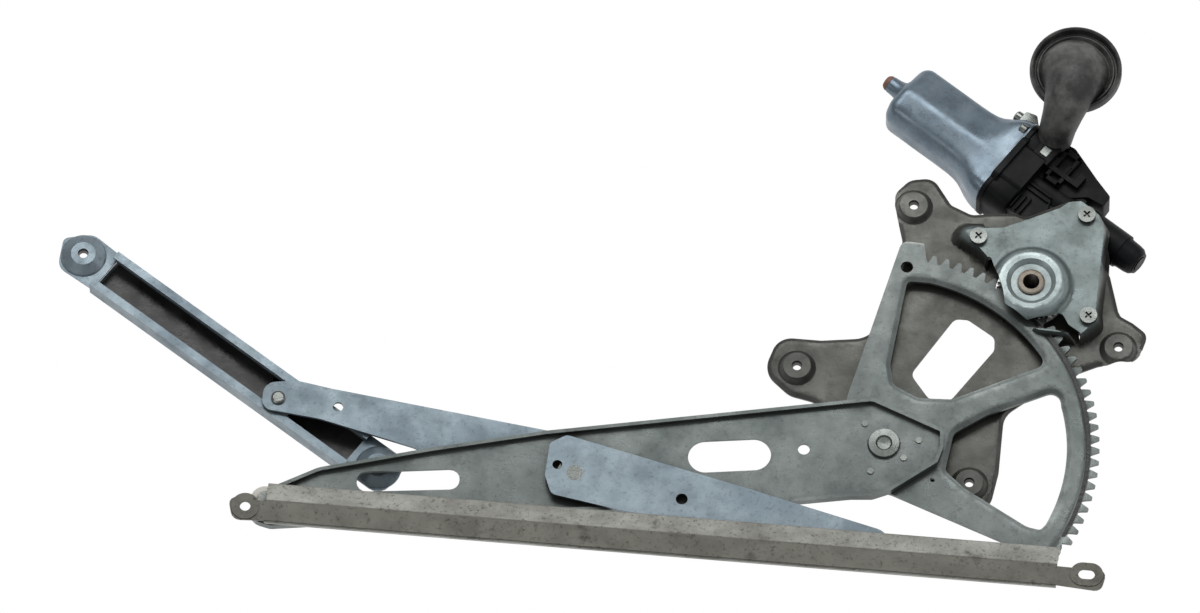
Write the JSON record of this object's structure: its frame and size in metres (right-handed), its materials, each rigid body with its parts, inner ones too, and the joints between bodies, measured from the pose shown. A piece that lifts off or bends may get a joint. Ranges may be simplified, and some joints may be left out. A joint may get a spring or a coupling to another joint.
{
  "type": "window regulator",
  "caption": "Scissor-type car window regulator: a worm-geared motor turns a toothed sector that swings crossed arms to raise and lower a glass channel.",
  "frame": {"origin": "centre of mounting boss 4's ring face, beside the main pivot", "axes": "+X along the glass channel towards the motor side, +Y up the door, +Z square to the base plate towards the cabin"},
  "size_m": [0.6619, 0.3759, 0.0784],
  "materials": {
    "zinc_plate": "zinc plated sheet, dull",
    "arm_steel": "zinc plated sheet, blue grey",
    "channel_steel": "weathered sheet",
    "bright_steel": "bright zinc",
    "dull_steel": "dull steel",
    "can_steel": "plated steel can",
    "black_plastic": "moulded, satin",
    "boot_rubber": "dusty",
    "nylon": "natural nylon",
    "ferrite": "ferrite",
    "brush_board": "phenolic board",
    "copper": "copper and bronze",
    "lamination": "laminated iron"
  },
  "bodies": {
    "base": {"base_plate": "zinc_plate", "mount_nuts": "dull_steel", "pivot_pin": "bright_steel", "pivot_washer": "dull_steel", "pinion_axle": "bright_steel", "motor_screws": "bright_steel", "gear_housing": "black_plastic", "housing_cover": "dull_steel", "motor_yoke": "can_steel", "yoke_screws": "bright_steel", "magnets": "ferrite", "brush_holder": "brush_board", "rear_bearing": "copper", "armature_core": "lamination", "commutator": "copper", "motor_shaft": "bright_steel", "worm": "bright_steel", "end_cap": "black_plastic", "wire_clip": "black_plastic", "rubber_boot": "boot_rubber"},
    "wheel": {"worm_wheel": "nylon", "wheel_shaft": "bright_steel", "output_gear": "bright_steel"},
    "drive": {"drive_gear": "bright_steel", "pinion": "bright_steel"},
    "lift_arm": {"sector_gear": "zinc_plate", "lift_arm": "zinc_plate", "arm_rivets": "bright_steel", "lift_roller_pin": "bright_steel"},
    "lift_roller": {"lift_roller": "nylon"},
    "equaliser": {"equaliser_rear": "arm_steel", "equaliser_front": "arm_steel", "scissor_pin": "bright_steel", "guide_roller_pin": "bright_steel", "glass_roller_pin": "bright_steel"},
    "equaliser_roller": {"equaliser_roller": "nylon"},
    "guide_roller": {"guide_roller": "nylon"},
    "glass_channel": {"glass_channel": "channel_steel"},
    "guide_channel": {"guide_channel": "arm_steel", "guide_nuts": "dull_steel"}
  },
  "joints": [
    {"name": "lift_hinge", "type": "hinge", "parent": "base", "child": "lift_arm", "pos_m": [-0.053, 0.018, 0], "axis": [0, 0, 1], "range_deg": [-22, 48]},
    {"name": "drive_hinge", "type": "hinge", "parent": "base", "child": "drive", "pos_m": [0.02626, 0.13036, 0], "axis": [0, 0, 1], "range_deg": [-612, 281]},
    {"name": "wheel_hinge", "type": "hinge", "parent": "base", "child": "wheel", "pos_m": [0.04179, 0.15365, 0], "axis": [0, 0, 1], "range_deg": [-702, 1531]},
    {"name": "lift_roller_spin", "type": "hinge", "parent": "lift_arm", "child": "lift_roller", "pos_m": [-0.41923, -0.05784, 0], "axis": [0, 0, 1], "continuous": true},
    {"name": "equaliser_hinge", "type": "hinge", "parent": "lift_arm", "child": "equaliser", "pos_m": [-0.23611, -0.01992, 0], "axis": [0, 0, 1], "range_deg": [-96, 44]},
    {"name": "equaliser_roller_spin", "type": "hinge", "parent": "equaliser", "child": "equaliser_roller", "pos_m": [-0.053, -0.05784, 0], "axis": [0, 0, 1], "continuous": true},
    {"name": "channel_hinge", "type": "hinge", "parent": "equaliser", "child": "glass_channel", "pos_m": [-0.053, -0.05784, 0], "axis": [0, 0, 1], "range_deg": [-22, 48]},
    {"name": "guide_swivel", "type": "hinge", "parent": "equaliser", "child": "guide_roller", "pos_m": [-0.41923, 0.018, 0], "axis": [0, 0, 1], "range_deg": [-10, 82]},
    {"name": "guide_slide", "type": "slide", "parent": "guide_roller", "child": "guide_channel", "axis": [-0.8387, 0.5446, 0], "range_m": [-0.127, 0.047]}
  ],
  "couplings": [
    {"joint": "drive_hinge", "follows": "lift_hinge", "ratio": -12.75},
    {"joint": "wheel_hinge", "follows": "lift_hinge", "ratio": 31.875},
    {"joint": "equaliser_hinge", "follows": "lift_hinge", "ratio": -2},
    {"joint": "channel_hinge", "follows": "lift_hinge", "ratio": 1}
  ]
}
